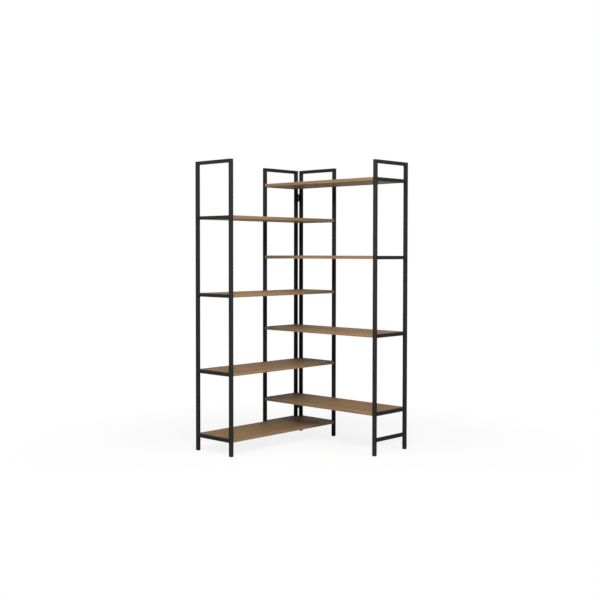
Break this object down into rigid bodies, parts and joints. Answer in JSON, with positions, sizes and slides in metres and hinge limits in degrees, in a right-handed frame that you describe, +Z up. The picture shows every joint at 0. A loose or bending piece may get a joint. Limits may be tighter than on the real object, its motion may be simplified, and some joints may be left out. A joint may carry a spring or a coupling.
{
  "type": "corner shelf unit",
  "caption": "Free-standing L-shaped corner shelf unit: hinged wings of black steel tube ladder frames carry wood-effect boards at staggered heights.",
  "frame": {"origin": "on the floor, under the middle of the square footprint", "axes": "+Z up; the right wing runs along +X and the left wing along -Y, from the corner at -X +Y"},
  "size_m": [0.9152, 0.9152, 1.7],
  "materials": {
    "frame_steel": "fine matt black powder coat",
    "shelf_board": "brown oak-effect melamine, grain along the board",
    "edge_band": "brown oak-effect edge strip",
    "foot_plastic": "black moulded plastic",
    "hinge_steel": "black painted steel",
    "screw_steel": "black plated steel"
  },
  "bodies": {
    "left_wing": {"left_inner_front_foot_cap": "foot_plastic", "left_inner_front_post": "frame_steel", "left_inner_rear_foot_cap": "foot_plastic", "left_inner_rear_post": "frame_steel", "left_inner_rung_1": "frame_steel", "left_inner_rung_2": "frame_steel", "left_inner_rung_3": "frame_steel", "left_inner_rung_4": "frame_steel", "left_inner_top_rail": "frame_steel", "left_outer_front_foot_cap": "foot_plastic", "left_outer_front_post": "frame_steel", "left_outer_rear_foot_cap": "foot_plastic", "left_outer_rear_post": "frame_steel", "left_outer_rung_1": "frame_steel", "left_outer_rung_2": "frame_steel", "left_outer_rung_3": "frame_steel", "left_outer_rung_4": "frame_steel", "left_outer_top_rail": "frame_steel", "left_shelf_1": "shelf_board", "left_shelf_2": "shelf_board", "left_shelf_3": "shelf_board", "left_shelf_4": "shelf_board", "left_shelf_edge_bands": "edge_band", "left_shelf_screws": "screw_steel", "lower_hinge_left_leaf": "hinge_steel", "upper_hinge_left_leaf": "hinge_steel"},
    "right_wing": {"lower_hinge_pin": "hinge_steel", "lower_hinge_right_leaf": "hinge_steel", "right_inner_front_foot_cap": "foot_plastic", "right_inner_front_post": "frame_steel", "right_inner_low_rung": "frame_steel", "right_inner_rear_foot_cap": "foot_plastic", "right_inner_rear_post": "frame_steel", "right_inner_rung_1": "frame_steel", "right_inner_rung_2": "frame_steel", "right_inner_rung_3": "frame_steel", "right_inner_rung_4": "frame_steel", "right_inner_top_rail": "frame_steel", "right_outer_front_foot_cap": "foot_plastic", "right_outer_front_post": "frame_steel", "right_outer_low_rung": "frame_steel", "right_outer_rear_foot_cap": "foot_plastic", "right_outer_rear_post": "frame_steel", "right_outer_rung_1": "frame_steel", "right_outer_rung_2": "frame_steel", "right_outer_rung_3": "frame_steel", "right_outer_rung_4": "frame_steel", "right_outer_top_rail": "frame_steel", "right_shelf_1": "shelf_board", "right_shelf_2": "shelf_board", "right_shelf_3": "shelf_board", "right_shelf_4": "shelf_board", "right_shelf_edge_bands": "edge_band", "right_shelf_screws": "screw_steel", "upper_hinge_pin": "hinge_steel", "upper_hinge_right_leaf": "hinge_steel"}
  },
  "joints": [
    {"name": "corner_hinge", "type": "hinge", "parent": "left_wing", "child": "right_wing", "pos_m": [-0.433, 0.433, 0], "axis": [0, 0, -1], "range_deg": [0, 50]}
  ]
}
